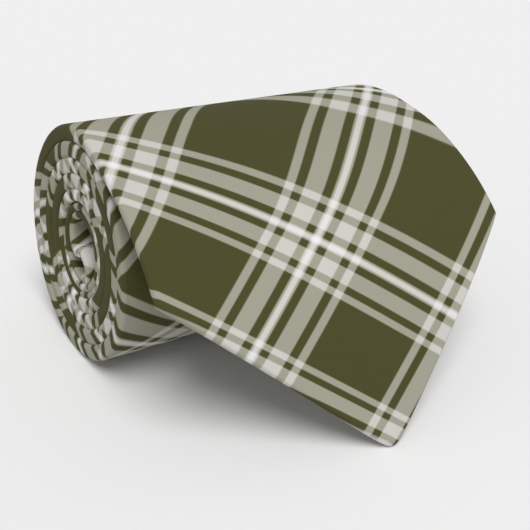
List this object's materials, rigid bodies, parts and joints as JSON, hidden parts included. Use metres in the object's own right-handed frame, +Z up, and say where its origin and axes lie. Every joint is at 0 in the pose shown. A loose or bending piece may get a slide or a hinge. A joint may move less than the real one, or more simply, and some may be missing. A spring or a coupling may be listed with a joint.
{
  "type": "necktie",
  "caption": "Plaid gentleman's necktie, folded in half and rolled up, standing on its roll with the wide blade hanging forward to the table.",
  "frame": {"origin": "centre of the bounding box, on the table surface", "axes": "+X along the roll towards its deeply stepped end, -Y the way the blade's tip points, +Z up from the table"},
  "size_m": [0.106, 0.1106, 0.0643],
  "materials": {
    "plaid_cloth": "matte twill, olive with pale grey and off-white stripes on the bias",
    "interlining_canvas": "matte brushed canvas",
    "tipping_satin": "low satin lining",
    "olive_thread": "twisted sewing thread"
  },
  "bodies": {
    "roll": {"front_panel": "plaid_cloth", "neck_panel": "plaid_cloth", "tail_panel": "plaid_cloth", "front_interlining": "interlining_canvas", "rear_interlining": "interlining_canvas", "tail_tipping": "tipping_satin", "front_bar_tack": "olive_thread", "tail_bar_tack": "olive_thread", "slip_stitch": "olive_thread", "keeper_loop": "plaid_cloth", "keeper_tack_left": "olive_thread", "keeper_tack_right": "olive_thread", "blank_label": "tipping_satin"},
    "blade": {"blade_envelope": "plaid_cloth", "blade_interlining": "interlining_canvas", "front_tipping": "tipping_satin"}
  },
  "joints": [
    {"name": "blade_lift", "type": "hinge", "parent": "roll", "child": "blade", "pos_m": [0, 0.01695, 0.06431], "axis": [-1, 0, 0], "range_deg": [0, 45]}
  ]
}
